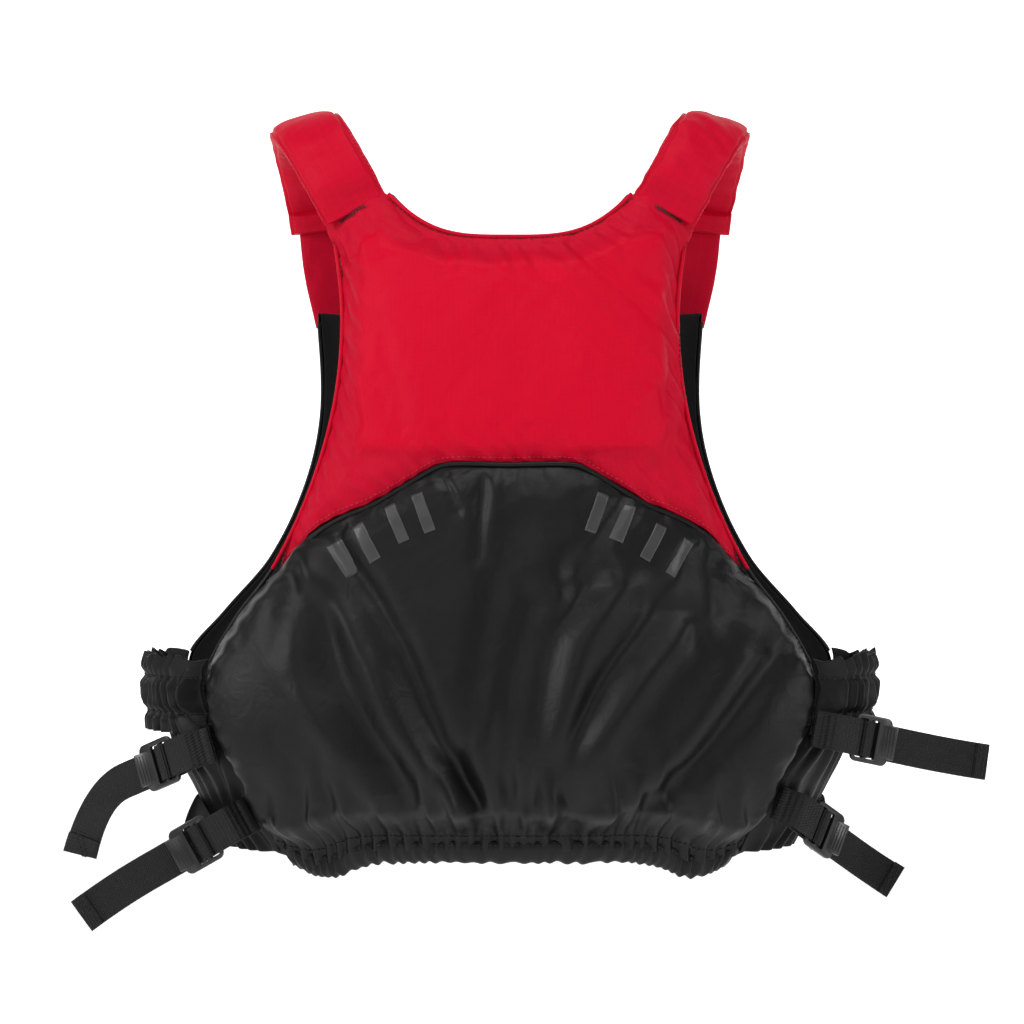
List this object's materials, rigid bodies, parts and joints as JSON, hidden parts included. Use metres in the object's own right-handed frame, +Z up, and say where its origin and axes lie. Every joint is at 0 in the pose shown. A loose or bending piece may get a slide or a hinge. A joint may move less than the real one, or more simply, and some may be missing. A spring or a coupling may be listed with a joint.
{
  "type": "life jacket",
  "caption": "Sleeveless buoyancy vest with foam panels, padded shoulder straps, front zip, elastic hem and side webbing adjusters.",
  "frame": {"origin": "between the shoulder straps, level with the underside of their highest stretch, where the vest rests on its wearer's shoulders", "axes": "+Z up along the upright wearer, +Y out of the zipped front, +X to the wearer's right"},
  "size_m": [0.6475, 0.2354, 0.5665],
  "materials": {
    "red_nylon": "satin woven nylon, coated",
    "black_nylon": "satin woven nylon, coated",
    "black_plastic": "semi-gloss moulded acetal",
    "black_webbing": "matt ribbed polyester webbing",
    "buoyancy_foam": "matt closed-cell foam",
    "black_lining": "matt woven lining",
    "black_elastic": "gathered matt elastic under nylon"
  },
  "bodies": {
    "vest": {"anchor_loop_lower_left": "black_webbing", "anchor_loop_lower_right": "black_webbing", "anchor_loop_upper_left": "black_webbing", "anchor_loop_upper_right": "black_webbing", "armhole_binding_back_left": "red_nylon", "armhole_binding_back_right": "red_nylon", "armhole_binding_front_left": "black_nylon", "armhole_binding_front_right": "black_nylon", "back_hem_casing": "black_nylon", "back_hem_elastic": "black_elastic", "back_lining": "black_lining", "back_lower_foam_left": "buoyancy_foam", "back_lower_foam_right": "buoyancy_foam", "back_lower_shell": "black_nylon", "back_piping": "black_nylon", "back_upper_foam": "buoyancy_foam", "back_upper_shell": "red_nylon", "front_foam_left": "buoyancy_foam", "front_foam_right": "buoyancy_foam", "front_hem_casing_left": "black_nylon", "front_hem_casing_right": "black_nylon", "front_lining_left": "black_lining", "front_lining_right": "black_lining", "front_shell_left": "black_nylon", "front_shell_right": "black_nylon", "front_strap_left": "red_nylon", "front_strap_right": "red_nylon", "load_strap_lower_left": "black_webbing", "load_strap_lower_right": "black_webbing", "load_strap_upper_left": "black_webbing", "load_strap_upper_right": "black_webbing", "neck_binding": "red_nylon", "shoulder_pad_left": "buoyancy_foam", "shoulder_pad_right": "buoyancy_foam", "shoulder_strap_left": "red_nylon", "shoulder_strap_right": "red_nylon", "side_elastic_band_left": "black_elastic", "side_elastic_band_right": "black_elastic", "side_panel_left": "black_nylon", "side_panel_right": "black_nylon", "strap_cuff_left": "red_nylon", "strap_cuff_right": "red_nylon", "zip_bottom_box": "black_plastic", "zip_tape_left": "black_webbing", "zip_tape_right": "black_webbing", "zip_teeth_left": "black_plastic", "zip_teeth_right": "black_plastic"},
    "buckle_upper_left": {"buckle_upper_left": "black_plastic"},
    "tail_upper_left": {"strap_tail_upper_left": "black_webbing"},
    "buckle_lower_left": {"buckle_lower_left": "black_plastic"},
    "tail_lower_left": {"strap_tail_lower_left": "black_webbing"},
    "buckle_upper_right": {"buckle_upper_right": "black_plastic"},
    "tail_upper_right": {"strap_tail_upper_right": "black_webbing"},
    "buckle_lower_right": {"buckle_lower_right": "black_plastic"},
    "tail_lower_right": {"strap_tail_lower_right": "black_webbing"},
    "zip_slider": {"zip_slider": "black_plastic"},
    "zip_pull": {"zip_pull": "black_plastic"}
  },
  "joints": [
    {"name": "buckle_tilt_upper_left", "type": "hinge", "parent": "vest", "child": "buckle_upper_left", "pos_m": [-0.23012, -0.07792, -0.44016], "axis": [-0.2887, 0.2018, 0.9359], "range_deg": [0, 40]},
    {"name": "tail_pull_upper_left", "type": "slide", "parent": "vest", "child": "tail_upper_left", "axis": [-0.7671, 0.5361, -0.3523], "range_m": [-0.01, 0.026]},
    {"name": "buckle_tilt_lower_left", "type": "hinge", "parent": "vest", "child": "buckle_lower_left", "pos_m": [-0.20241, -0.0878, -0.49192], "axis": [-0.4897, 0.0841, 0.8678], "range_deg": [0, 40]},
    {"name": "tail_pull_lower_left", "type": "slide", "parent": "vest", "child": "tail_lower_left", "axis": [-0.8553, 0.1468, -0.4969], "range_m": [-0.01, 0.026]},
    {"name": "buckle_tilt_upper_right", "type": "hinge", "parent": "vest", "child": "buckle_upper_right", "pos_m": [0.23566, -0.08085, -0.42521], "axis": [-0.1886, -0.0888, -0.978], "range_deg": [0, 40]},
    {"name": "tail_pull_upper_right", "type": "slide", "parent": "vest", "child": "tail_upper_right", "axis": [0.8849, 0.4166, -0.2085], "range_m": [-0.01, 0.026]},
    {"name": "buckle_tilt_lower_right", "type": "hinge", "parent": "vest", "child": "buckle_lower_right", "pos_m": [0.20704, -0.07575, -0.48392], "axis": [-0.38, -0.3201, -0.8678], "range_deg": [0, 40]},
    {"name": "tail_pull_lower_right", "type": "slide", "parent": "vest", "child": "tail_lower_right", "axis": [0.6637, 0.5591, -0.4969], "range_m": [-0.01, 0.026]},
    {"name": "zip_travel", "type": "slide", "parent": "vest", "child": "zip_slider", "axis": [0, 0, -1], "range_m": [0, 0.3]},
    {"name": "zip_pull_swing", "type": "hinge", "parent": "zip_slider", "child": "zip_pull", "pos_m": [0, 0.09955, -0.1796], "axis": [1, 0, 0], "range_deg": [0, 165]}
  ]
}
